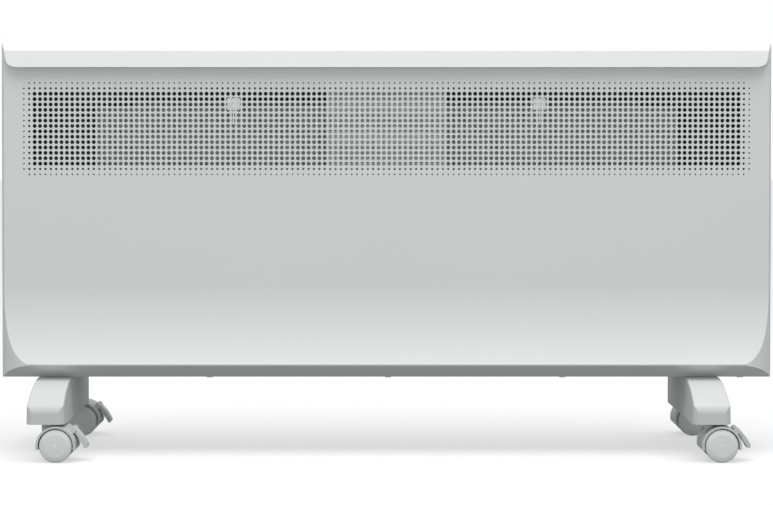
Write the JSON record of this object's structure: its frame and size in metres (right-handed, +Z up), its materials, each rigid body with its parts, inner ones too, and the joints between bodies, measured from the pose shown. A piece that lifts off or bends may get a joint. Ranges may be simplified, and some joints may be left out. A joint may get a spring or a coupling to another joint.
{
  "type": "fan convector heater",
  "caption": "Wide white panel convector heater with a perforated front grille, top controls, internal fan and two castered feet.",
  "frame": {"origin": "on the floor, under the middle of the heater", "axes": "+Z up; +X along the casing to the controls end; the grille faces -Y"},
  "size_m": [0.865, 0.242, 0.463],
  "materials": {
    "white_powder_coat": "satin powder coat",
    "white_cap": "gloss moulded",
    "zinc_sheet": "galvanised",
    "bright_zinc": "bright zinc",
    "element_aluminium": "rolled",
    "steel_pin": "ground",
    "screw_steel": "zinc plated",
    "white_plastic": "fine texture",
    "wheel_plastic": "satin",
    "dark_plastic": "fine texture",
    "grey_plastic": "fine texture",
    "fan_plastic": "moulded",
    "lens_amber": "clear tinted",
    "ceramic_block": "glazed",
    "cord_sheath": "satin PVC",
    "lead_insulation": "silicone",
    "brass_pins": "plated"
  },
  "bodies": {
    "casing": {"front_panel": "white_powder_coat", "rear_casing": "white_powder_coat", "top_cap": "white_cap", "bottom_tray": "white_powder_coat", "heat_shield": "zinc_sheet", "element_left": "element_aluminium", "element_right": "element_aluminium", "element_brackets": "zinc_sheet", "shield_stays": "bright_zinc", "thermal_cutouts": "ceramic_block", "fan_housing": "bright_zinc", "air_deflector": "white_plastic", "motor_bracket": "zinc_sheet", "fan_motor": "steel_pin", "control_tub": "grey_plastic", "control_box": "dark_plastic", "thermostat": "dark_plastic", "rocker_switch_bodies": "dark_plastic", "pilot_lens": "lens_amber", "terminal_block": "ceramic_block", "tilt_switch": "dark_plastic", "wiring_harness": "lead_insulation", "cord_gland": "dark_plastic", "cord_hooks": "white_plastic", "power_cord": "cord_sheath", "plug_body": "cord_sheath", "plug_pins": "brass_pins", "casing_screws": "screw_steel", "lip_screws": "screw_steel", "foot_screws": "screw_steel", "foot_left": "white_plastic", "foot_right": "white_plastic", "caster_stems": "steel_pin"},
    "fan": {"fan_impeller": "fan_plastic", "motor_shaft": "steel_pin"},
    "knob": {"thermostat_knob": "white_plastic"},
    "heat_rocker": {"heat_rocker": "white_plastic"},
    "fan_rocker": {"fan_rocker": "white_plastic"},
    "caster_front_left": {"caster_front_left_hood": "white_plastic", "caster_front_left_axle": "steel_pin"},
    "caster_front_left_front_wheel": {"caster_front_left_front_wheel": "wheel_plastic"},
    "caster_front_left_rear_wheel": {"caster_front_left_rear_wheel": "wheel_plastic"},
    "caster_front_left_lever": {"caster_front_left_brake_lever": "white_plastic"},
    "caster_rear_left": {"caster_rear_left_hood": "white_plastic", "caster_rear_left_axle": "steel_pin"},
    "caster_rear_left_front_wheel": {"caster_rear_left_front_wheel": "wheel_plastic"},
    "caster_rear_left_rear_wheel": {"caster_rear_left_rear_wheel": "wheel_plastic"},
    "caster_rear_left_lever": {"caster_rear_left_brake_lever": "white_plastic"},
    "caster_front_right": {"caster_front_right_hood": "white_plastic", "caster_front_right_axle": "steel_pin"},
    "caster_front_right_front_wheel": {"caster_front_right_front_wheel": "wheel_plastic"},
    "caster_front_right_rear_wheel": {"caster_front_right_rear_wheel": "wheel_plastic"},
    "caster_front_right_lever": {"caster_front_right_brake_lever": "white_plastic"},
    "caster_rear_right": {"caster_rear_right_hood": "white_plastic", "caster_rear_right_axle": "steel_pin"},
    "caster_rear_right_front_wheel": {"caster_rear_right_front_wheel": "wheel_plastic"},
    "caster_rear_right_rear_wheel": {"caster_rear_right_rear_wheel": "wheel_plastic"},
    "caster_rear_right_lever": {"caster_rear_right_brake_lever": "white_plastic"}
  },
  "joints": [
    {"name": "fan_spin", "type": "hinge", "parent": "casing", "child": "fan", "pos_m": [0, 0, 0.365], "axis": [0, 1, 0], "continuous": true},
    {"name": "thermostat_turn", "type": "hinge", "parent": "casing", "child": "knob", "pos_m": [0.386, 0, 0.455], "axis": [0, 0, -1], "range_deg": [0, 300]},
    {"name": "heat_rocker_tilt", "type": "hinge", "parent": "casing", "child": "heat_rocker", "pos_m": [0.312, 0, 0.4485], "axis": [1, 0, 0], "range_deg": [-10, 10]},
    {"name": "fan_rocker_tilt", "type": "hinge", "parent": "casing", "child": "fan_rocker", "pos_m": [0.334, 0, 0.4485], "axis": [1, 0, 0], "range_deg": [-10, 10]},
    {"name": "caster_front_left_swivel", "type": "hinge", "parent": "casing", "child": "caster_front_left", "pos_m": [-0.371, -0.1, 0.03], "axis": [0, 0, 1], "continuous": true},
    {"name": "caster_front_left_front_wheel_spin", "type": "hinge", "parent": "caster_front_left", "child": "caster_front_left_front_wheel", "pos_m": [-0.36, -0.1, 0.018], "axis": [0, 1, 0], "continuous": true},
    {"name": "caster_front_left_rear_wheel_spin", "type": "hinge", "parent": "caster_front_left", "child": "caster_front_left_rear_wheel", "pos_m": [-0.36, -0.1, 0.018], "axis": [0, 1, 0], "continuous": true},
    {"name": "caster_front_left_brake", "type": "hinge", "parent": "caster_front_left", "child": "caster_front_left_lever", "pos_m": [-0.3425, -0.1, 0.034], "axis": [0, 1, 0], "range_deg": [0, 10]},
    {"name": "caster_rear_left_swivel", "type": "hinge", "parent": "casing", "child": "caster_rear_left", "pos_m": [-0.371, 0.1, 0.03], "axis": [0, 0, 1], "continuous": true},
    {"name": "caster_rear_left_front_wheel_spin", "type": "hinge", "parent": "caster_rear_left", "child": "caster_rear_left_front_wheel", "pos_m": [-0.36, 0.1, 0.018], "axis": [0, 1, 0], "continuous": true},
    {"name": "caster_rear_left_rear_wheel_spin", "type": "hinge", "parent": "caster_rear_left", "child": "caster_rear_left_rear_wheel", "pos_m": [-0.36, 0.1, 0.018], "axis": [0, 1, 0], "continuous": true},
    {"name": "caster_rear_left_brake", "type": "hinge", "parent": "caster_rear_left", "child": "caster_rear_left_lever", "pos_m": [-0.3425, 0.1, 0.034], "axis": [0, 1, 0], "range_deg": [0, 10]},
    {"name": "caster_front_right_swivel", "type": "hinge", "parent": "casing", "child": "caster_front_right", "pos_m": [0.353, -0.1, 0.03], "axis": [0, 0, 1], "continuous": true},
    {"name": "caster_front_right_front_wheel_spin", "type": "hinge", "parent": "caster_front_right", "child": "caster_front_right_front_wheel", "pos_m": [0.364, -0.1, 0.018], "axis": [0, 1, 0], "continuous": true},
    {"name": "caster_front_right_rear_wheel_spin", "type": "hinge", "parent": "caster_front_right", "child": "caster_front_right_rear_wheel", "pos_m": [0.364, -0.1, 0.018], "axis": [0, 1, 0], "continuous": true},
    {"name": "caster_front_right_brake", "type": "hinge", "parent": "caster_front_right", "child": "caster_front_right_lever", "pos_m": [0.3815, -0.1, 0.034], "axis": [0, 1, 0], "range_deg": [0, 10]},
    {"name": "caster_rear_right_swivel", "type": "hinge", "parent": "casing", "child": "caster_rear_right", "pos_m": [0.353, 0.1, 0.03], "axis": [0, 0, 1], "continuous": true},
    {"name": "caster_rear_right_front_wheel_spin", "type": "hinge", "parent": "caster_rear_right", "child": "caster_rear_right_front_wheel", "pos_m": [0.364, 0.1, 0.018], "axis": [0, 1, 0], "continuous": true},
    {"name": "caster_rear_right_rear_wheel_spin", "type": "hinge", "parent": "caster_rear_right", "child": "caster_rear_right_rear_wheel", "pos_m": [0.364, 0.1, 0.018], "axis": [0, 1, 0], "continuous": true},
    {"name": "caster_rear_right_brake", "type": "hinge", "parent": "caster_rear_right", "child": "caster_rear_right_lever", "pos_m": [0.3815, 0.1, 0.034], "axis": [0, 1, 0], "range_deg": [0, 10]}
  ]
}
